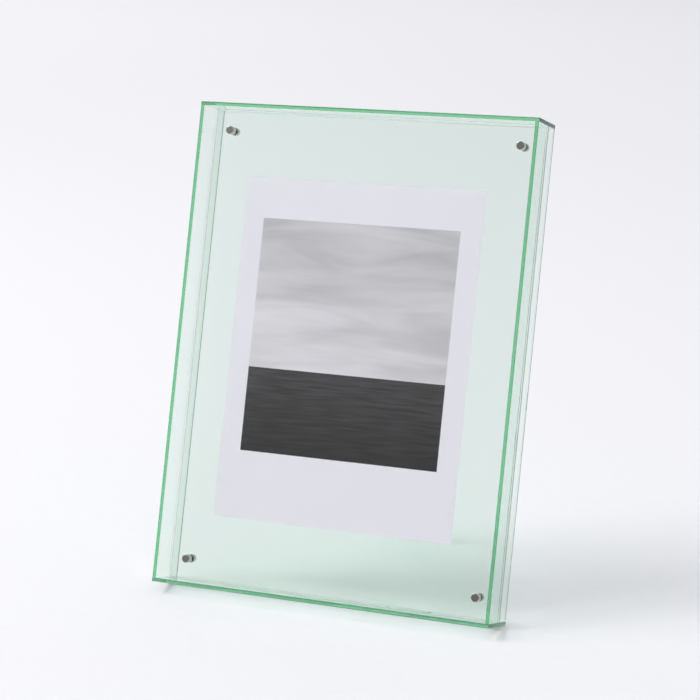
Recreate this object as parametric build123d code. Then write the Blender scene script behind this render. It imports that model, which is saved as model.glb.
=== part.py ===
"""Magnet-held box frame of tinted acrylic, leaning back on a fold-out leg.

Four wall plates make a shallow box that is open at the front. A thin back panel stands between
them, set in from their rear edges. A print lies on the panel under a loose cover sheet, and four
cylinder magnets on the cover pull towards four magnets on the rear of the panel. A leg, pinned in
a bracket on the panel, holds the frame at its lean and folds flat against it.

The frame is drawn upright first: X runs to the right, Y from the front edges to the back, and Z
up from the bottom plate. It is then leaned back and set down on the floor, with the origin under
the middle of the whole object.
"""
import os
from math import cos, radians, sin

from build123d import *

# Box, in millimetres and degrees
frame_width = 210.0
frame_height = 285.0
frame_depth = 30.0
wall_thickness = 2.2
rim_arris = 0.3
cement_gap = 0.05
lean_angle = 15.0
rest_flat_depth = 0.5

# Layers inside the box
rear_recess = 9.0
back_thickness = 2.0
back_arris = 0.15
cover_thickness = 1.5
cover_clearance = 0.4
cover_arris = 0.15
print_width = 150.0
print_height = 202.0
print_thickness = 0.25
print_play = 0.05
print_shift_x = -3.1
print_shift_z = 0.6

# Magnets
magnet_diameter = 5.0
magnet_arris = 0.35
magnet_inset_x = 14.0
magnet_inset_z = 14.6
front_magnet_length = 4.0
rear_magnet_length = 3.0
magnet_seat_gap = 0.05

# Leg
leg_opening = 33.5
leg_thickness = 6.0
leg_top_width = 22.0
leg_foot_width = 30.0
leg_arris = 0.4
hinge_height = 222.0
hinge_standoff = 6.0
stop_gap = 0.1
stop_bevel = 1.0

# Leg bracket, its pin and its screws
bracket_sheet = 1.5
bracket_side_gap = 0.4
bracket_above_heel = 2.0
bracket_below_pin = 25.0
bracket_corner = 2.0
ear_radius = 4.5
pin_diameter = 2.5
pin_ear_gap = 0.03
pin_leg_gap = 0.06
pin_head_diameter = 5.0
pin_head_thickness = 1.0
pin_tail = 1.6
clip_diameter = 5.6
clip_thickness = 0.6
clip_groove_depth = 0.3
clip_gap = 0.05
screw_diameter = 3.0
screw_front_skin = 0.5
screw_head_diameter = 5.7
screw_head_height = 1.65
screw_socket_width = 2.0
screw_socket_depth = 1.0
screw_gap = 0.1
screw_spread = 6.5
screw_below_pin = 9.0
screw_pitch = 10.0

# Places that follow from the sizes
half_width = frame_width / 2
back_rear_y = frame_depth - rear_recess
back_front_y = back_rear_y - back_thickness
cover_back_y = back_front_y - print_thickness - 2 * print_play
cover_front_y = cover_back_y - cover_thickness
bracket_face_y = back_rear_y + bracket_sheet
stop_y = bracket_face_y + stop_gap
pin_y = frame_depth + hinge_standoff
opening = radians(leg_opening)
leg_heel = (pin_y - stop_y + stop_bevel - leg_thickness / 2 * cos(opening)) / sin(opening)
bracket_top = hinge_height + leg_heel * cos(opening) + bracket_above_heel
tapped_y = back_front_y + screw_front_skin
ear_inner_x = leg_top_width / 2 + bracket_side_gap
ear_outer_x = ear_inner_x + bracket_sheet
leg_reach = 2 * frame_height
sides = {"left": -1, "right": 1}
levels = {"top": frame_height - magnet_inset_z, "bottom": magnet_inset_z}
lean = Rot(-lean_angle, 0, 0)
floor_z = -frame_depth * sin(radians(lean_angle)) + rest_flat_depth


def block(x, y, z):
    """Box between the low and high values of each pair."""
    size = [high - low for low, high in (x, y, z)]
    middle = [(low + high) / 2 for low, high in (x, y, z)]
    return Pos(*middle) * Box(*size)


def rod_y(diameter, x, y, z):
    """Cylinder along Y between the two values of the pair y."""
    return Pos(x, sum(y) / 2, z) * Rot(90, 0, 0) * Cylinder(diameter / 2, y[1] - y[0])


def rod_x(diameter, x, y, z):
    """Cylinder along X between the two values of the pair x."""
    return Pos(sum(x) / 2, y, z) * Rot(0, 90, 0) * Cylinder(diameter / 2, x[1] - x[0])


def below_floor():
    """Everything under the floor that the leaning frame stands on, in the upright frame."""
    slab = block((-leg_reach, leg_reach), (-leg_reach, leg_reach), (floor_z - leg_reach, floor_z))
    return lean.inverse() * slab


def wall_plates():
    """Top and bottom plates of the full width, and the side plates between them."""
    across = (-half_width, half_width)
    deep = (0, frame_depth)
    top = block(across, deep, (frame_height - wall_thickness, frame_height))
    bottom = block(across, deep, (0, wall_thickness))
    between = (wall_thickness + cement_gap, frame_height - wall_thickness - cement_gap)
    left = block((-half_width, wall_thickness - half_width), deep, between)
    right = block((half_width - wall_thickness, half_width), deep, between)
    return {
        "top_wall": chamfer(top.edges().filter_by(Axis.X), rim_arris),
        "bottom_wall": chamfer(bottom.edges().filter_by(Axis.X), rim_arris) - below_floor(),
        "left_wall": chamfer(left.edges().filter_by(Axis.Z), rim_arris),
        "right_wall": chamfer(right.edges().filter_by(Axis.Z), rim_arris),
    }


def inner_sheet(y, gap, arris):
    """Sheet that fills the box between two depths, a gap away from the walls."""
    inset = wall_thickness + gap
    across = (inset - half_width, half_width - inset)
    sheet = block(across, y, (inset, frame_height - inset))
    rims = sheet.faces().sort_by(Axis.Y)
    return chamfer(rims[0].edges() + rims[-1].edges(), arris)


def screw_places():
    """X and Z of the four bracket screws."""
    rows = (hinge_height - screw_below_pin, hinge_height - screw_below_pin - screw_pitch)
    return [(side * screw_spread, z) for z in rows for side in sides.values()]


def back_panel():
    """Thin panel with blind holes in its rear for the bracket screws."""
    panel = inner_sheet((back_front_y, back_rear_y), cement_gap, back_arris)
    for x, z in screw_places():
        panel -= rod_y(screw_diameter + 2 * screw_gap, x, (tapped_y, bracket_face_y), z)
    return panel


def photo_print():
    """Sheet of photo paper between the cover and the back panel."""
    middle_z = frame_height / 2 + print_shift_z
    return block(
        (print_shift_x - print_width / 2, print_shift_x + print_width / 2),
        (cover_back_y + print_play, back_front_y - print_play),
        (middle_z - print_height / 2, middle_z + print_height / 2),
    )


def magnets():
    """Front magnets standing on the cover, and rear magnets behind them on the back panel."""
    front_y = (cover_front_y - magnet_seat_gap - front_magnet_length, cover_front_y - magnet_seat_gap)
    rear_start = back_rear_y + magnet_seat_gap
    rear_y = (rear_start, rear_start + rear_magnet_length)
    made = {}
    for level, z in levels.items():
        for name, side in sides.items():
            x = side * (half_width - magnet_inset_x)
            for end, y in (("front", front_y), ("rear", rear_y)):
                magnet = rod_y(magnet_diameter, x, y, z)
                rims = magnet.edges().filter_by(GeomType.CIRCLE)
                made[f"{end}_magnet_{level}_{name}"] = chamfer(rims, magnet_arris)
    return made


def leg():
    """Tapered leg, opened about its pin, cut flat at the floor and bevelled at its stop."""
    taper = [
        (-leg_top_width / 2, leg_heel),
        (leg_top_width / 2, leg_heel),
        (leg_top_width / 2, -leg_heel),
        (leg_foot_width / 2, -hinge_height),
        (leg_foot_width / 2, -leg_reach),
        (-leg_foot_width / 2, -leg_reach),
        (-leg_foot_width / 2, -hinge_height),
        (-leg_top_width / 2, -leg_heel),
    ]
    bar = extrude(Plane.XZ * make_face(Polyline(*taper, close=True)), leg_thickness / 2, both=True)
    faces = bar.faces().sort_by(Axis.Y)
    bar = chamfer(faces[0].edges() + faces[-1].edges(), leg_arris)
    bar -= rod_x(pin_diameter + 2 * pin_leg_gap, (-leg_foot_width, leg_foot_width), 0, 0)
    opened = Pos(0, pin_y, hinge_height) * Rot(leg_opening, 0, 0) * bar
    stop = block((-leg_reach, leg_reach), (-leg_reach, stop_y), (-leg_reach, leg_reach))
    return opened - stop - below_floor()


def leg_bracket():
    """Bent sheet bracket: a base plate on the back panel and two ears that carry the pin."""
    tall = (hinge_height - bracket_below_pin, bracket_top)
    base = block((-ear_outer_x, ear_outer_x), (back_rear_y, bracket_face_y), tall)
    base = fillet(base.edges().filter_by(Axis.Y), bracket_corner)
    for side in sides.values():
        x = sorted((side * ear_inner_x, side * ear_outer_x))
        heights = (hinge_height - ear_radius, hinge_height + ear_radius)
        base += block(x, (back_rear_y, pin_y), heights)
        base += rod_x(2 * ear_radius, x, pin_y, hinge_height)
    base -= rod_x(pin_diameter + 2 * pin_ear_gap, (-leg_foot_width, leg_foot_width), pin_y, hinge_height)
    for x, z in screw_places():
        base -= rod_y(screw_diameter + 2 * screw_gap, x, (0, pin_y), z)
    return base


def hinge_pin():
    """Headed pin through the ears and the leg, grooved for its clip."""
    head_x = -ear_outer_x - clip_gap
    groove_x = ear_outer_x + clip_gap
    groove = (groove_x, groove_x + clip_thickness + 2 * clip_gap)
    pin = rod_x(pin_diameter, (head_x, groove[1] + pin_tail), pin_y, hinge_height)
    core = rod_x(pin_diameter - 2 * clip_groove_depth, groove, pin_y, hinge_height)
    pin = pin - rod_x(2 * pin_diameter, groove, pin_y, hinge_height) + core
    return pin + rod_x(pin_head_diameter, (head_x - pin_head_thickness, head_x), pin_y, hinge_height)


def pin_clip():
    """Slotted ring that snaps into the pin's groove."""
    start = ear_outer_x + 2 * clip_gap
    x = (start, start + clip_thickness)
    hole = pin_diameter - 2 * clip_groove_depth + 2 * clip_gap
    ring = rod_x(clip_diameter, x, pin_y, hinge_height) - rod_x(hole, x, pin_y, hinge_height)
    slot = block(x, (pin_y - hole / 2, pin_y + hole / 2), (hinge_height - clip_diameter, hinge_height))
    return ring - slot


def bracket_screws():
    """Four button-head screws with hexagon sockets, from the bracket into the back panel."""
    screws = []
    for x, z in screw_places():
        head_end = bracket_face_y + screw_head_height
        head = rod_y(screw_head_diameter, x, (bracket_face_y, head_end), z)
        rim = head.edges().filter_by(GeomType.CIRCLE).sort_by(Axis.Y)[-1]
        head = fillet(rim, screw_head_height / 2)
        shank = rod_y(screw_diameter, x, (tapped_y + screw_gap, bracket_face_y), z)
        hexagon = RegularPolygon(screw_socket_width / 2, 6, major_radius=False)
        socket = extrude(Pos(x, head_end, z) * Rot(90, 0, 0) * hexagon, screw_socket_depth)
        screws.append(head + shank - socket)
    return Compound(children=screws)


upright = {
    **wall_plates(),
    "back_panel": back_panel(),
    "cover_sheet": inner_sheet((cover_front_y, cover_back_y), cover_clearance, cover_arris),
    "photo_print": photo_print(),
    **magnets(),
    "leg": leg(),
    "leg_bracket": leg_bracket(),
    "hinge_pin": hinge_pin(),
    "pin_clip": pin_clip(),
    "bracket_screws": bracket_screws(),
}
leaning = {name: lean * shape for name, shape in upright.items()}
extents = [shape.bounding_box() for shape in leaning.values()]
middle_y = (min(box.min.Y for box in extents) + max(box.max.Y for box in extents)) / 2
stand = Pos(0, -middle_y, -floor_z)
placed = {name: stand * shape for name, shape in leaning.items()}

os.makedirs("parts", exist_ok=True)
for name, shape in placed.items():
    export_step(shape, f"parts/{name}.step")
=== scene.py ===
"""Looks of the magnet-held acrylic box frame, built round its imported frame, in metres."""

import logging
import math
from dataclasses import dataclass, field
from enum import Enum
from typing import Any, Mapping, Sequence

import bpy
import numpy as np
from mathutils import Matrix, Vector


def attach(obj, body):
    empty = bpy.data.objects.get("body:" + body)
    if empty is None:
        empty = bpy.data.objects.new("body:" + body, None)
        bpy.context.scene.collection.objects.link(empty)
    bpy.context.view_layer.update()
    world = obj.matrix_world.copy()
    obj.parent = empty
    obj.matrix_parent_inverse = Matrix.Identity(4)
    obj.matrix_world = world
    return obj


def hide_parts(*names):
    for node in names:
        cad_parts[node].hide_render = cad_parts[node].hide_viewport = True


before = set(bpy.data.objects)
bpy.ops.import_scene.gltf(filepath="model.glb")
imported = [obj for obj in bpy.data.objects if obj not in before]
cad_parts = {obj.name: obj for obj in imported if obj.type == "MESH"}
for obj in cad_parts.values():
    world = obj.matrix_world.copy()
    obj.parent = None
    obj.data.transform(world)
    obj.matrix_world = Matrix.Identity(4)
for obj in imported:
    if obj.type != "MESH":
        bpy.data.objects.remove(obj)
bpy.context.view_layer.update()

MM = 0.001
LOG = logging.getLogger("acrylic_frame")

# The sockets of a mix node share their names between kinds of data, so these go by number
VALUE_A, VALUE_B, VALUE_OUT = 2, 3, 0
COLOUR_A, COLOUR_B, COLOUR_OUT = 6, 7, 2


class Corner(Enum):
    """The four corners that a pair of magnets clamps, as (side, level) signs."""

    TOP_LEFT = (-1, 1)
    TOP_RIGHT = (1, 1)
    BOTTOM_LEFT = (-1, -1)
    BOTTOM_RIGHT = (1, -1)

    @property
    def label(self) -> str:
        """The corner's name as the nodes and bodies spell it."""
        return self.name.lower()


class MagnetSide(Enum):
    """Which of a pair a magnet is: the loose one in front, or the one behind the back panel."""

    FRONT = "front"
    REAR = "rear"


@dataclass(frozen=True)
class Lean:
    """How the upright frame, drawn with its front edges at depth 0, leans back on its rear edge."""

    angle_deg: float = 15.0
    shift_y_mm: float = -83.26726
    shift_z_mm: float = 7.26457

    def place(self, points_mm: np.ndarray) -> np.ndarray:
        """Turns upright points back by the lean about X, then shifts them to where they stand.

        Args:
            points_mm: Rows of (across, depth from the front edges, height), in millimetres.

        Returns:
            The same rows in the part's frame, in metres.
        """
        angle = math.radians(self.angle_deg)
        across, depth, height = points_mm.T
        back = depth * math.cos(angle) + height * math.sin(angle) + self.shift_y_mm
        up = height * math.cos(angle) - depth * math.sin(angle) + self.shift_z_mm
        return np.stack([across, back, up], axis=1) * MM


LEAN = Lean()


def linear(hex_colour: str) -> tuple[float, float, float, float]:
    """Turns an sRGB hex colour into linear light, by the sRGB curve.

    Args:
        hex_colour: Six hex digits, with or without a leading hash sign.

    Returns:
        Red, green, blue and an alpha of 1.
    """
    digits = hex_colour.lstrip("#")
    srgb = np.array([int(digits[i : i + 2], 16) for i in (0, 2, 4)]) / 255.0
    low, high = srgb / 12.92, ((srgb + 0.055) / 1.055) ** 2.4
    red, green, blue = np.where(srgb <= 0.04045, low, high)
    return float(red), float(green), float(blue), 1.0


def add(
    tree: bpy.types.NodeTree,
    kind: str,
    sockets: Mapping[str | int, Any] | None = None,
    **settings: Any,
) -> bpy.types.Node:
    """Adds one node to a tree, with its settings, its values and its links.

    Args:
        tree: The node tree that gets the node.
        kind: The node's type name.
        sockets: For each input, by name or number, a value or the output socket that feeds it.
        **settings: Properties of the node itself.

    Returns:
        The new node.
    """
    node = tree.nodes.new(kind)
    for name, value in settings.items():
        setattr(node, name, value)
    for key, value in (sockets or {}).items():
        if isinstance(value, bpy.types.NodeSocket):
            tree.links.new(value, node.inputs[key])
        else:
            node.inputs[key].default_value = value
    return node


def new_material(name: str) -> tuple[bpy.types.Material, bpy.types.NodeTree, bpy.types.Node]:
    """Makes a material whose tree holds only its output.

    Args:
        name: The material's name.

    Returns:
        The material, its node tree and its output node.
    """
    material = bpy.data.materials.new(name)
    material.use_nodes = True
    tree = material.node_tree
    tree.nodes.clear()
    return material, tree, add(tree, "ShaderNodeOutputMaterial")


def dress(piece: bpy.types.Object, material: bpy.types.Material) -> None:
    """Gives every material slot of a piece one material, and a first slot where it has none.

    Args:
        piece: The piece to dress.
        material: What every slot gets.
    """
    if not piece.material_slots:
        piece.data.materials.append(material)
    for slot in piece.material_slots:
        slot.material = material


@dataclass
class Surface:
    """A surface as arrays: points in metres, and faces as rows of point numbers."""

    points: np.ndarray
    quads: np.ndarray
    tris: np.ndarray = field(default_factory=lambda: np.zeros((0, 3), int))

    def outward(self) -> "Surface":
        """Turns the faces round if they enclose a negative volume, the sum of a . (b x c) / 6.

        Returns:
            The surface itself, with its faces pointing out.
        """
        halves = [self.tris, self.quads[:, [0, 1, 2]], self.quads[:, [0, 2, 3]]]
        a, b, c = np.moveaxis(self.points[np.concatenate(halves)], 1, 0)
        if np.einsum("ij,ij->", a, np.cross(b, c)) < 0:
            self.quads, self.tris = self.quads[:, ::-1], self.tris[:, ::-1]
        return self

    def piece(self, name: str, smooth: bool = True) -> bpy.types.Object:
        """Makes the surface an object at the origin.

        Args:
            name: The piece's name.
            smooth: Whether its faces are shaded smooth.

        Returns:
            The new object, in the scene.
        """
        mesh = bpy.data.meshes.new(name)
        mesh.from_pydata(self.points.tolist(), [], self.quads.tolist() + self.tris.tolist())
        mesh.polygons.foreach_set("use_smooth", np.full(len(mesh.polygons), smooth))
        mesh.update()
        piece = bpy.data.objects.new(name, mesh)
        bpy.context.scene.collection.objects.link(piece)
        return piece


def grid_quads(rows: int, columns: int, wrap: bool) -> np.ndarray:
    """Faces of a grid of points numbered row by row.

    Args:
        rows: Rows of points.
        columns: Points in a row.
        wrap: Whether the last column joins the first.

    Returns:
        One row of four point numbers for each face.
    """
    across = columns if wrap else columns - 1
    row, column = np.meshgrid(np.arange(rows - 1), np.arange(across), indexing="ij")
    start, after = row * columns, (column + 1) % columns
    corners = [start + column, start + after, start + columns + after, start + columns + column]
    return np.stack(corners, axis=-1).reshape(-1, 4)


def lathe(profile_mm: np.ndarray, centre_mm: Sequence[float], turns: int) -> Surface:
    """Carries a profile round an axis that points along the upright frame's depth.

    A point is (r cos a, d, r sin a) about the centre, for the profile's radius r and depth d and
    the angle a. The profile's two ends lie on the axis and close the surface with a pole each.

    Args:
        profile_mm: Rows of (radius, depth), the first and the last at radius 0.
        centre_mm: Across and height of the axis on the upright frame.
        turns: Points round the axis.

    Returns:
        The closed surface, in the part's frame.
    """
    angle = np.linspace(0, 2 * math.pi, turns, endpoint=False)
    radius, depth = (part[:, None] for part in profile_mm[1:-1].T)
    rings = np.stack(
        [
            centre_mm[0] + radius * np.cos(angle),
            np.broadcast_to(depth, (len(depth), turns)),
            centre_mm[1] + radius * np.sin(angle),
        ],
        axis=-1,
    ).reshape(-1, 3)
    poles = np.array([[centre_mm[0], profile_mm[end, 1], centre_mm[1]] for end in (0, -1)])
    first, last = len(rings), len(rings) + 1
    here, after = np.arange(turns), (np.arange(turns) + 1) % turns
    base = len(rings) - turns
    fans = np.concatenate(
        [
            np.stack([np.full(turns, first), after, here], axis=1),
            np.stack([np.full(turns, last), base + here, base + after], axis=1),
        ]
    )
    points = LEAN.place(np.concatenate([rings, poles]))
    return Surface(points, grid_quads(len(profile_mm) - 2, turns, wrap=True), fans).outward()


def slab(front: np.ndarray, back: np.ndarray) -> Surface:
    """Closes two grids of the same size into a thin body with a strip of faces round the rim.

    Args:
        front: Points of the front face, as rows by columns by 3, in metres.
        back: Points of the back face, the same way round.

    Returns:
        The closed surface.
    """
    rows, columns = front.shape[:2]
    number = np.arange(rows * columns).reshape(rows, columns)
    rim = np.concatenate([number[0], number[1:, -1], number[-1, -2::-1], number[-2:0:-1, 0]])
    after, shift = np.roll(rim, -1), rows * columns
    face = grid_quads(rows, columns, wrap=False)
    edge = np.stack([after, rim, rim + shift, after + shift], axis=1)
    quads = np.concatenate([face, face[:, ::-1] + shift, edge])
    return Surface(np.concatenate([front.reshape(-1, 3), back.reshape(-1, 3)]), quads).outward()


@dataclass(frozen=True)
class CastAcrylic:
    """Cast acrylic sheet, saw cut and polished.

    It gives the eye clear faces with a faint slow ripple, and edges that gather the tint, because
    light in an edge has come through the whole depth of the sheet. Where the ends that face
    sideways have a roughness, they keep the saw's matt.
    """

    name: str
    kept: str
    path_mm: float
    ior: float = 1.49
    ripple_mm: float = 45.0
    ripple_depth_mm: float = 0.0001
    end_roughness: float = 0.0
    end_facing: float = 0.9
    darkest_share: float = 0.9

    def material(self) -> bpy.types.Material:
        """Makes the clear shader and the tint inside it.

        The tint takes off exp(-k s) on a way of s. k comes from the colour that white keeps after
        path_mm, and Volume Absorption takes density times (1 - colour) off each metre. The channel
        that loses most gets darkest_share of the density, so that no colour value is 0.

        Returns:
            The material.
        """
        material, tree, output = new_material(self.name)
        place = add(tree, "ShaderNodeTexCoord")
        ripple = add(
            tree,
            "ShaderNodeTexNoise",
            {"Vector": place.outputs["Object"], "Scale": 1 / (self.ripple_mm * MM), "Detail": 1.0},
        )
        relief = add(
            tree,
            "ShaderNodeBump",
            {
                "Height": ripple.outputs["Fac"],
                "Strength": 1.0,
                "Distance": self.ripple_depth_mm * MM,
            },
        )
        clear = add(
            tree,
            "ShaderNodeBsdfPrincipled",
            {
                "Base Color": (1.0, 1.0, 1.0, 1.0),
                "Roughness": self.roughness(tree, place),
                "IOR": self.ior,
                "Transmission Weight": 1.0,
                "Normal": relief.outputs["Normal"],
            },
        )
        taken = -np.log(np.array(linear(self.kept)[:3])) / (self.path_mm * MM)
        density = float(taken.max()) / self.darkest_share
        left = 1 - taken / density
        tint = add(
            tree,
            "ShaderNodeVolumeAbsorption",
            {"Color": (*map(float, left), 1.0), "Density": density},
        )
        tree.links.new(clear.outputs["BSDF"], output.inputs["Surface"])
        tree.links.new(tint.outputs["Volume"], output.inputs["Volume"])
        return material

    def roughness(
        self, tree: bpy.types.NodeTree, place: bpy.types.Node
    ) -> float | bpy.types.NodeSocket:
        """Works out how matt the faces are: only the ends are, where |x| of the normal is high.

        Args:
            tree: The material's node tree.
            place: Its texture coordinates.

        Returns:
            0 for a sheet polished all round, or the socket that carries the ends' roughness.
        """
        if not self.end_roughness:
            return 0.0
        parts = add(tree, "ShaderNodeSeparateXYZ", {"Vector": place.outputs["Normal"]})
        sideways = add(tree, "ShaderNodeMath", {0: parts.outputs["X"]}, operation="ABSOLUTE")
        end = add(
            tree,
            "ShaderNodeMath",
            {0: sideways.outputs[0], 1: self.end_facing},
            operation="GREATER_THAN",
        )
        matt = add(
            tree,
            "ShaderNodeMath",
            {0: end.outputs[0], 1: self.end_roughness},
            operation="MULTIPLY",
        )
        return matt.outputs[0]


@dataclass(frozen=True)
class GrainedMetal:
    """A metal whose roughness, shade and relief all follow one fine grain."""

    name: str
    dark: str
    light: str
    rough: tuple[float, float]
    relief: float
    relief_depth_mm: float = 0.01

    def grain(self, tree: bpy.types.NodeTree) -> bpy.types.NodeSocket:
        """Gives the grain as a value from 0 to 1. Each metal has its own."""
        raise NotImplementedError

    def material(self) -> bpy.types.Material:
        """Makes the metal round its grain.

        Returns:
            The material.
        """
        material, tree, output = new_material(self.name)
        grain = self.grain(tree)
        rough = add(
            tree,
            "ShaderNodeMapRange",
            {"Value": grain, "To Min": self.rough[0], "To Max": self.rough[1]},
        )
        shade = add(
            tree,
            "ShaderNodeMix",
            {"Factor": grain, COLOUR_A: linear(self.dark), COLOUR_B: linear(self.light)},
            data_type="RGBA",
        )
        relief = add(
            tree,
            "ShaderNodeBump",
            {"Height": grain, "Strength": self.relief, "Distance": self.relief_depth_mm * MM},
        )
        metal = add(
            tree,
            "ShaderNodeBsdfPrincipled",
            {
                "Base Color": shade.outputs[COLOUR_OUT],
                "Metallic": 1.0,
                "Roughness": rough.outputs["Result"],
                "Normal": relief.outputs["Normal"],
            },
        )
        tree.links.new(metal.outputs["BSDF"], output.inputs["Surface"])
        return material


@dataclass(frozen=True)
class NickelPlate(GrainedMetal):
    """Bright nickel plate on a sintered magnet, tumbled before plating.

    It gives the eye a disc as grey as the room in front of it, with a soft grain, and sides and a
    rounded rim that catch the light.
    """

    name: str = "bright_nickel_plate"
    dark: str = "#B4B3B0"
    light: str = "#C6C4C0"
    rough: tuple[float, float] = (0.08, 0.18)
    relief: float = 0.5
    grain_mm: float = 0.35

    def grain(self, tree: bpy.types.NodeTree) -> bpy.types.NodeSocket:
        """Gives an even grain, the same all ways.

        Args:
            tree: The material's node tree.

        Returns:
            The socket that carries the grain.
        """
        place = add(tree, "ShaderNodeTexCoord")
        grain = add(
            tree,
            "ShaderNodeTexNoise",
            {"Vector": place.outputs["Object"], "Scale": 1 / (self.grain_mm * MM), "Detail": 3.0},
        )
        return grain.outputs["Fac"]


@dataclass(frozen=True)
class BrushedSteel(GrainedMetal):
    """Stainless sheet and bar with a brushed finish.

    It gives the eye a cool grey metal with fine lines along its length.
    """

    name: str = "brushed_stainless_steel"
    dark: str = "#9C9B99"
    light: str = "#B4B3B0"
    rough: tuple[float, float] = (0.24, 0.44)
    relief: float = 0.4
    line_mm: float = 0.25
    line_length_mm: float = 9.0

    def grain(self, tree: bpy.types.NodeTree) -> bpy.types.NodeSocket:
        """Gives lines, a noise drawn out along the upright height.

        Args:
            tree: The material's node tree.

        Returns:
            The socket that carries the grain.
        """
        place = add(tree, "ShaderNodeTexCoord")
        turned = add(
            tree,
            "ShaderNodeMapping",
            {
                "Vector": place.outputs["Object"],
                "Rotation": (math.radians(LEAN.angle_deg), 0.0, 0.0),
                "Scale": (1 / self.line_mm, 1 / self.line_mm, 1 / self.line_length_mm),
            },
        )
        lines = add(
            tree,
            "ShaderNodeTexNoise",
            {"Vector": turned.outputs["Vector"], "Scale": 1 / MM, "Detail": 2.0},
        )
        return lines.outputs["Fac"]


@dataclass(frozen=True)
class Streaks:
    """Streaks in a picture: a noise drawn out sideways, whose middle runs between two tones."""

    size_mm: tuple[float, float]
    tones: tuple[float, float]
    detail: float
    distortion: float
    middle: tuple[float, float] = (0.25, 0.75)

    def draw(
        self, tree: bpy.types.NodeTree, sheet: bpy.types.NodeSocket
    ) -> bpy.types.NodeSocket:
        """Draws the streaks on a sheet.

        Args:
            tree: The material's node tree.
            sheet: Places on the sheet, in millimetres.

        Returns:
            The socket that carries the tone.
        """
        long, high = self.size_mm
        way = add(
            tree,
            "ShaderNodeMapping",
            {"Vector": sheet, "Scale": (1 / long, 1 / high, 1.0)},
        )
        noise = add(
            tree,
            "ShaderNodeTexNoise",
            {
                "Vector": way.outputs["Vector"],
                "Scale": 1.0,
                "Detail": self.detail,
                "Distortion": self.distortion,
            },
        )
        tone = add(
            tree,
            "ShaderNodeMapRange",
            {
                "Value": noise.outputs["Fac"],
                "From Min": self.middle[0],
                "From Max": self.middle[1],
                "To Min": self.tones[0],
                "To Max": self.tones[1],
            },
        )
        return tone.outputs["Result"]


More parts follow.
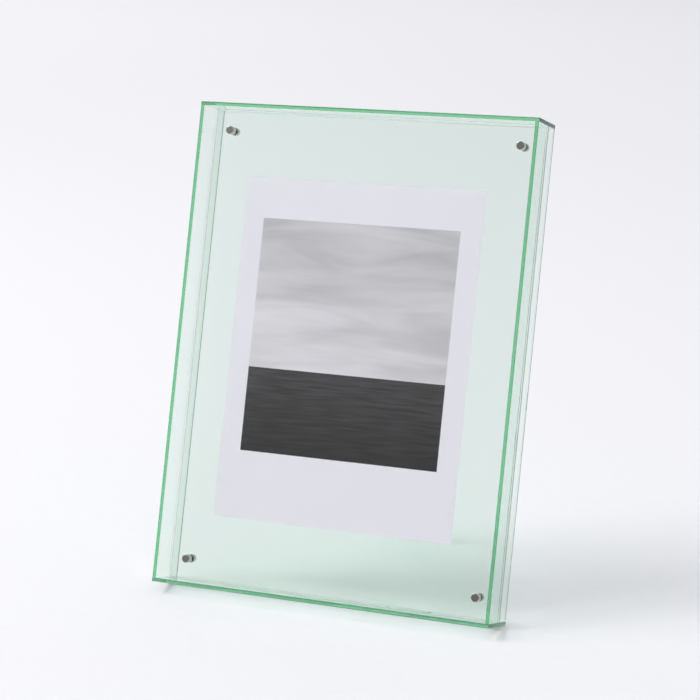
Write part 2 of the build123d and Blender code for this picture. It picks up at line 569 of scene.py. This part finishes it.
@dataclass(frozen=True)
class PhotoPaper:
    """Semi-matt resin-coated photo paper with a grey print and wide white margins.

    It gives the eye a cool white sheet with a soft sheen, and a picture of calm water under long
    drawn-out cloud, from pale grey down to near black.
    """

    name: str = "semi_matt_photo_paper"
    white: str = "#F5F5FB"
    ink_dark: str = "#000000"
    ink_light: str = "#FBFBFF"
    unit_mm: float = 202.0
    window_mm: tuple[float, float, float, float] = (13.0, 40.0, 137.0, 178.0)
    horizon: float = 0.36
    sky_tones: tuple[float, float] = (0.80, 0.64)
    water_tones: tuple[float, float] = (0.022, 0.06)
    cloud: Streaks = Streaks((85.0, 15.0), (-0.16, 0.16), detail=6.0, distortion=0.6)
    ripple: Streaks = Streaks((24.0, 1.8), (0.45, 1.6), detail=5.0, distortion=0.2)
    fibre_mm: float = 0.9
    fibre_depth_mm: float = 0.02
    fibre_relief: float = 0.3
    rough: tuple[float, float] = (0.40, 0.58)
    specular: float = 0.35

    def material(self) -> bpy.types.Material:
        """Makes the paper, with the picture drawn on the sheet's own UV map.

        Returns:
            The material.
        """
        material, tree, output = new_material(self.name)
        uv = add(tree, "ShaderNodeUVMap", uv_map="sheet")
        sheet = add(
            tree,
            "ShaderNodeMapping",
            {"Vector": uv.outputs["UV"], "Scale": (self.unit_mm, self.unit_mm, 1.0)},
        ).outputs["Vector"]
        place = add(tree, "ShaderNodeSeparateXYZ", {"Vector": sheet})
        colour = add(
            tree,
            "ShaderNodeMix",
            {
                "Factor": self.inked(tree, place),
                COLOUR_A: linear(self.white),
                COLOUR_B: self.picture(tree, sheet, place.outputs["Y"]),
            },
            data_type="RGBA",
        )
        fibre = add(
            tree,
            "ShaderNodeTexNoise",
            {"Vector": sheet, "Scale": 1 / self.fibre_mm, "Detail": 4.0},
        )
        rough = add(
            tree,
            "ShaderNodeMapRange",
            {"Value": fibre.outputs["Fac"], "To Min": self.rough[0], "To Max": self.rough[1]},
        )
        relief = add(
            tree,
            "ShaderNodeBump",
            {
                "Height": fibre.outputs["Fac"],
                "Strength": self.fibre_relief,
                "Distance": self.fibre_depth_mm * MM,
            },
        )
        paper = add(
            tree,
            "ShaderNodeBsdfPrincipled",
            {
                "Base Color": colour.outputs[COLOUR_OUT],
                "Roughness": rough.outputs["Result"],
                "Specular IOR Level": self.specular,
                "Normal": relief.outputs["Normal"],
            },
        )
        tree.links.new(paper.outputs["BSDF"], output.inputs["Surface"])
        return material

    def picture(
        self, tree: bpy.types.NodeTree, sheet: bpy.types.NodeSocket, up: bpy.types.NodeSocket
    ) -> bpy.types.NodeSocket:
        """Draws sky over water, which meet at the horizon.

        The sky is a ramp over the height plus drawn-out cloud, and the water a darker ramp times
        drawn-out ripples.

        Args:
            tree: The material's node tree.
            sheet: Places on the sheet, in millimetres.
            up: Their heights.

        Returns:
            The socket that carries the picture's colour.
        """
        _, low, _, high = self.window_mm
        horizon_mm = low + self.horizon * (high - low)
        sky_ramp = add(
            tree,
            "ShaderNodeMapRange",
            {
                "Value": up,
                "From Min": horizon_mm,
                "From Max": high,
                "To Min": self.sky_tones[0],
                "To Max": self.sky_tones[1],
            },
        )
        sky = add(
            tree,
            "ShaderNodeMath",
            {0: sky_ramp.outputs["Result"], 1: self.cloud.draw(tree, sheet)},
            operation="ADD",
        )
        water_ramp = add(
            tree,
            "ShaderNodeMapRange",
            {
                "Value": up,
                "From Min": low,
                "From Max": horizon_mm,
                "To Min": self.water_tones[0],
                "To Max": self.water_tones[1],
            },
        )
        water = add(
            tree,
            "ShaderNodeMath",
            {0: water_ramp.outputs["Result"], 1: self.ripple.draw(tree, sheet)},
            operation="MULTIPLY",
        )
        above = add(tree, "ShaderNodeMath", {0: up, 1: horizon_mm}, operation="GREATER_THAN")
        grey = add(
            tree,
            "ShaderNodeMix",
            {"Factor": above.outputs[0], VALUE_A: water.outputs[0], VALUE_B: sky.outputs[0]},
        )
        ink = add(
            tree,
            "ShaderNodeMix",
            {
                "Factor": grey.outputs[VALUE_OUT],
                COLOUR_A: linear(self.ink_dark),
                COLOUR_B: linear(self.ink_light),
            },
            data_type="RGBA",
        )
        return ink.outputs[COLOUR_OUT]

    def inked(self, tree: bpy.types.NodeTree, place: bpy.types.Node) -> bpy.types.NodeSocket:
        """Cuts the picture's window out of the white, on the sheet's printed face only.

        Args:
            tree: The material's node tree.
            place: Across and height on the sheet, in millimetres.

        Returns:
            The socket that carries 1 inside the window and 0 outside it.
        """
        left, low, right, high = self.window_mm
        wide = add(
            tree,
            "ShaderNodeMath",
            {0: place.outputs["X"], 1: (left + right) / 2, 2: (right - left) / 2},
            operation="COMPARE",
        )
        tall = add(
            tree,
            "ShaderNodeMath",
            {0: place.outputs["Y"], 1: (low + high) / 2, 2: (high - low) / 2},
            operation="COMPARE",
        )
        window = add(
            tree,
            "ShaderNodeMath",
            {0: wide.outputs[0], 1: tall.outputs[0]},
            operation="MULTIPLY",
        )
        printed = add(tree, "ShaderNodeAttribute", attribute_name="printed")
        inked = add(
            tree,
            "ShaderNodeMath",
            {0: window.outputs[0], 1: printed.outputs["Fac"]},
            operation="MULTIPLY",
        )
        return inked.outputs[0]


@dataclass(frozen=True)
class StudioPaper:
    """Matt white background paper, which gives the eye a plain pale floor without a horizon."""

    name: str = "matt_background_paper"
    dark: str = "#F1F1F6"
    light: str = "#F4F4F8"
    fibre_mm: float = 8.0
    rough: float = 0.9
    specular: float = 0.1

    def material(self) -> bpy.types.Material:
        """Makes the paper, with a faint fibre in its colour, drawn coarse enough to show.

        Returns:
            The material.
        """
        material, tree, output = new_material(self.name)
        place = add(tree, "ShaderNodeTexCoord")
        fibre = add(
            tree,
            "ShaderNodeTexNoise",
            {"Vector": place.outputs["Object"], "Scale": 1 / (self.fibre_mm * MM), "Detail": 4.0},
        )
        shade = add(
            tree,
            "ShaderNodeMix",
            {
                "Factor": fibre.outputs["Fac"],
                COLOUR_A: linear(self.dark),
                COLOUR_B: linear(self.light),
            },
            data_type="RGBA",
        )
        paper = add(
            tree,
            "ShaderNodeBsdfPrincipled",
            {
                "Base Color": shade.outputs[COLOUR_OUT],
                "Roughness": self.rough,
                "Specular IOR Level": self.specular,
            },
        )
        tree.links.new(paper.outputs["BSDF"], output.inputs["Surface"])
        return material


# The colour that white light keeps on a way through the sheet: green in the depth of a wall or
# in the panel, and hardly changed in the cover
GREEN_ACRYLIC = CastAcrylic("glass_green_cast_acrylic", kept="#88D2A2", path_mm=31.0)
SAWN_ACRYLIC = CastAcrylic(
    "glass_green_cast_acrylic_sawn", kept="#88D2A2", path_mm=31.0, end_roughness=0.35
)
PANEL_ACRYLIC = CastAcrylic("glass_green_cast_acrylic_panel", kept="#C3F2D4", path_mm=10.0)
CLEAR_ACRYLIC = CastAcrylic("clear_cast_acrylic", kept="#FAFCFB", path_mm=300.0)


@dataclass
class AcrylicTray:
    """The four cemented wall plates and the thin back panel between them."""

    sides: tuple[str, ...] = ("left_wall", "right_wall")
    plates: tuple[str, ...] = ("top_wall", "bottom_wall")
    panel: str = "back_panel"

    def dress(self) -> list[bpy.types.Object]:
        """Gives the walls and the panel their tinted acrylic.

        Returns:
            The dressed pieces.
        """
        finishes = (
            (self.sides, GREEN_ACRYLIC),
            (self.plates, SAWN_ACRYLIC),
            ((self.panel,), PANEL_ACRYLIC),
        )
        pieces = []
        for names, finish in finishes:
            material = finish.material()
            for name in names:
                dress(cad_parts[name], material)
                pieces.append(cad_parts[name])
        return pieces


@dataclass
class CoverSheet:
    """The loose clear sheet in front of the print."""

    node: str = "cover_sheet"

    def dress(self) -> list[bpy.types.Object]:
        """Gives the sheet its clear acrylic.

        Returns:
            The dressed piece.
        """
        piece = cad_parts[self.node]
        dress(piece, CLEAR_ACRYLIC.material())
        return [piece]


@dataclass
class PhotoPrint:
    """The photo print that the magnets hold behind the cover sheet."""

    width_mm: float = 150.0
    height_mm: float = 202.0
    front_mm: float = 18.70
    thickness_mm: float = 0.25
    centre_mm: tuple[float, float] = (-3.1, 143.1)
    columns: int = 31
    rows: int = 41

    def build(self) -> list[bpy.types.Object]:
        """Makes the sheet as two flat grids, (x, depth, z) at the front and the back, closed.

        Returns:
            The print, riding on its body in place of its node.
        """
        across = np.linspace(0, self.width_mm, self.columns)
        up = np.linspace(0, self.height_mm, self.rows)
        up_grid, across_grid = np.meshgrid(up, across, indexing="ij")
        x = across_grid + self.centre_mm[0] - self.width_mm / 2
        z = up_grid + self.centre_mm[1] - self.height_mm / 2

        def face(depth: float) -> np.ndarray:
            """One face of the sheet at a depth, as a grid of points in the part's frame."""
            flat = np.stack([x, np.full_like(x, depth), z], axis=-1).reshape(-1, 3)
            return LEAN.place(flat).reshape(*x.shape, 3)

        surface = slab(face(self.front_mm), face(self.front_mm + self.thickness_mm))
        piece = surface.piece("print_sheet", smooth=False)
        uv = np.stack([across_grid.ravel(), up_grid.ravel()], axis=1) / PhotoPaper.unit_mm
        self.mark(piece.data, np.concatenate([uv, uv]))
        dress(piece, PhotoPaper().material())
        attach(piece, "print")
        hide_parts("photo_print")
        return [piece]

    def mark(self, mesh: bpy.types.Mesh, uv: np.ndarray) -> None:
        """Lays the sheet's UV map, and marks the faces of its front as the printed ones.

        Args:
            mesh: The sheet, with the faces of its front first.
            uv: One row of (u, v) for each point.
        """
        corners = np.zeros(len(mesh.loops), int)
        mesh.loops.foreach_get("vertex_index", corners)
        layer = mesh.uv_layers.new(name="sheet")
        layer.data.foreach_set("uv", uv[corners].astype(np.float32).ravel())
        printed = np.arange(len(mesh.polygons)) < (self.rows - 1) * (self.columns - 1)
        mark = mesh.attributes.new("printed", "FLOAT", "FACE")
        mark.data.foreach_set("value", printed.astype(np.float32))


@dataclass
class MagnetSet:
    """Four pairs of cylinder magnets: one on the cover sheet, one behind the back panel."""

    radius_mm: float = 2.5
    rim_mm: float = 0.35
    across_mm: float = 91.0
    middle_mm: float = 142.5
    rise_mm: float = 127.9
    front_span_mm: tuple[float, float] = (13.1, 17.1)
    rear_span_mm: tuple[float, float] = (21.05, 24.05)
    turns: int = 72
    rim_steps: int = 7
    end_steps: tuple[float, ...] = (0.0, 0.5, 0.97)
    side_start: float = 1.15

    def profile(self, start: float, end: float) -> np.ndarray:
        """Half the outline of a magnet: two flat ends and a quarter-round rim at each.

        The flat has rows at end_steps of its radius, and the side one at side_start rims in, so
        that smooth shading stays on the rim.

        Args:
            start: Depth of the front end.
            end: Depth of the rear end.

        Returns:
            Rows of (radius, depth), from the middle of the front end to that of the rear end.
        """
        angle = np.linspace(0, math.pi / 2, self.rim_steps)
        out = self.radius_mm - self.rim_mm * (1 - np.sin(angle))
        into = self.rim_mm * (1 - np.cos(angle))
        flat = (self.radius_mm - self.rim_mm) * np.array(self.end_steps)
        half = np.concatenate(
            [
                np.stack([flat, np.zeros_like(flat)], axis=1),
                np.stack([out, into], axis=1),
                [[self.radius_mm, self.rim_mm * self.side_start]],
            ]
        )
        return np.concatenate([half + [0, start], half[::-1] * [1, -1] + [0, end]])

    def build(self) -> list[bpy.types.Object]:
        """Turns each magnet on the lathe and sets it on its body in place of its node.

        Returns:
            The eight magnets.
        """
        plate = NickelPlate().material()
        pieces = []
        for side in MagnetSide:
            span_mm = self.front_span_mm if side is MagnetSide.FRONT else self.rear_span_mm
            profile = self.profile(*span_mm)
            for corner in Corner:
                along, level = corner.value
                centre = (along * self.across_mm, self.middle_mm + level * self.rise_mm)
                surface = lathe(profile, centre, self.turns)
                piece = surface.piece(f"{side.value}_disc_magnet_{corner.label}")
                dress(piece, plate)
                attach(piece, f"magnet_{corner.label}" if side is MagnetSide.FRONT else "frame")
                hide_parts(f"{side.value}_magnet_{corner.label}")
                pieces.append(piece)
        return pieces


@dataclass
class RearLeg:
    """The folding leg and the bracket, pin, clip and screws that carry it."""

    leg: str = "leg"
    steel: tuple[str, ...] = ("leg_bracket", "hinge_pin", "pin_clip", "bracket_screws")

    def dress(self) -> list[bpy.types.Object]:
        """Gives the leg its acrylic and the fittings their steel.

        Returns:
            The dressed pieces.
        """
        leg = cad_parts[self.leg]
        dress(leg, bpy.data.materials[GREEN_ACRYLIC.name])
        steel = BrushedSteel().material()
        fittings = [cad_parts[name] for name in self.steel]
        for piece in fittings:
            dress(piece, steel)
        return [leg, *fittings]


@dataclass(frozen=True)
class SoftBox:
    """One studio lamp with a soft cover, as wide and as high as its size says."""

    name: str
    place: tuple[float, float, float]
    aim: tuple[float, float, float]
    size: tuple[float, float]
    watts: float
    colour: str = "#FFFEFC"
    mirrored: bool = True

    def build(self) -> None:
        """Hangs the lamp, turns it to its aim and says whether it shows in polished faces."""
        lamp = bpy.data.lights.new(self.name, "AREA")
        lamp.shape = "RECTANGLE"
        lamp.size, lamp.size_y = self.size
        lamp.energy = self.watts
        lamp.color = linear(self.colour)[:3]
        hung = bpy.data.objects.new(self.name, lamp)
        line = Vector(self.aim) - Vector(self.place)
        hung.location = self.place
        hung.rotation_euler = line.to_track_quat("-Z", "Y").to_euler()
        hung.visible_glossy = self.mirrored
        bpy.context.scene.collection.objects.link(hung)


@dataclass
class Studio:
    """The pale floor, the soft light and the camera at the photograph's angle."""

    floor_start: float = 0.05
    floor_radius: float = 14.0
    floor_rings: int = 24
    floor_turns: int = 96
    camera_place: tuple[float, float, float] = (0.495773, -1.198769, 0.430568)
    camera_line: tuple[float, float, float] = (-0.38149, 0.89794, -0.21946)
    camera_range: tuple[float, float] = (0.05, 60.0)
    sensor_mm: float = 36.0
    lens_mm: float = 115.567
    sky: str = "#FBFBFC"
    sky_strength: float = 0.794
    front_share: float = 0.30
    front_y: tuple[float, float] = (-0.95, -0.6)
    clear_bounces: int = 64
    matt_bounces: int = 5
    brightest_bounce: float = 60.0
    lamps: tuple[SoftBox, ...] = (
        SoftBox("key_soft_box", (-2.12, -1.05, 2.54), (0.0, 0.0, 0.0), (1.6, 0.6), 44.3),
        SoftBox(
            "back_soft_box", (-3.6, 3.6, 3.2), (-1.6, 3.4, 0.0), (3.0, 3.0), 38.2, mirrored=False
        ),
    )

    def build(self) -> None:
        """Builds the floor, the lamps, the surrounding light and the camera."""
        self.floor()
        self.surround()
        for lamp in self.lamps:
            lamp.build()
        self.camera()
        scene = bpy.context.scene
        scene.view_settings.view_transform = "Standard"
        scene.cycles.max_bounces = self.clear_bounces
        scene.cycles.transmission_bounces = self.clear_bounces
        scene.cycles.glossy_bounces = self.clear_bounces
        scene.cycles.diffuse_bounces = self.matt_bounces
        scene.cycles.sample_clamp_indirect = self.brightest_bounce
        scene.cycles.blur_glossy = 0.0

    def floor(self) -> None:
        """Lays the floor, rings of points whose radius grows by a steady factor, at height 0."""
        rings, turns = self.floor_rings, self.floor_turns
        radius = np.geomspace(self.floor_start, self.floor_radius, rings)[:, None]
        angle = np.linspace(0, 2 * math.pi, turns, endpoint=False)
        round_points = [radius * np.cos(angle), radius * np.sin(angle), 0 * radius * angle]
        points = np.concatenate([np.stack(round_points, axis=-1).reshape(-1, 3), np.zeros((1, 3))])
        here = np.arange(turns)
        fan = np.stack([np.full(turns, len(points) - 1), here, (here + 1) % turns], axis=1)
        quads = grid_quads(rings, turns, wrap=True)[:, ::-1]
        piece = Surface(points, quads, fan).piece("studio_floor")
        dress(piece, StudioPaper().material())

    def surround(self) -> None:
        """Lights the studio from all round, dimmer ahead of the frame, where the room is dark."""
        world = bpy.data.worlds.new("studio_light")
        bpy.context.scene.world = world
        world.use_nodes = True
        tree = world.node_tree
        tree.nodes.clear()
        way = add(tree, "ShaderNodeTexCoord")
        parts = add(tree, "ShaderNodeSeparateXYZ", {"Vector": way.outputs["Generated"]})
        ahead = add(
            tree,
            "ShaderNodeMapRange",
            {
                "Value": parts.outputs["Y"],
                "From Min": self.front_y[0],
                "From Max": self.front_y[1],
                "To Min": self.front_share,
                "To Max": 1.0,
            },
            interpolation_type="SMOOTHSTEP",
        )
        strength = add(
            tree,
            "ShaderNodeMath",
            {0: ahead.outputs["Result"], 1: self.sky_strength},
            operation="MULTIPLY",
        )
        light = add(
            tree,
            "ShaderNodeBackground",
            {"Color": linear(self.sky), "Strength": strength.outputs[0]},
        )
        output = add(tree, "ShaderNodeOutputWorld")
        tree.links.new(light.outputs["Background"], output.inputs["Surface"])

    def camera(self) -> None:
        """Sets the camera where the photograph was taken from."""
        lens = bpy.data.cameras.new("photo_camera")
        lens.sensor_width = self.sensor_mm
        lens.lens = self.lens_mm
        lens.clip_start, lens.clip_end = self.camera_range
        holder = bpy.data.objects.new("photo_camera", lens)
        holder.location = self.camera_place
        holder.rotation_euler = Vector(self.camera_line).to_track_quat("-Z", "Y").to_euler()
        bpy.context.scene.collection.objects.link(holder)
        bpy.context.scene.camera = holder


def main() -> None:
    """Builds the sub-assemblies in order, then the studio."""
    logging.basicConfig(level=logging.INFO, format="%(name)s: %(message)s")
    made = [
        *AcrylicTray().dress(),
        *CoverSheet().dress(),
        *PhotoPrint().build(),
        *MagnetSet().build(),
        *RearLeg().dress(),
    ]
    for piece in made:
        faces, finish = len(piece.data.polygons), piece.active_material.name
        LOG.info("%s: %d faces, %s", piece.name, faces, finish)
    Studio().build()


if __name__ == "__main__":
    main()
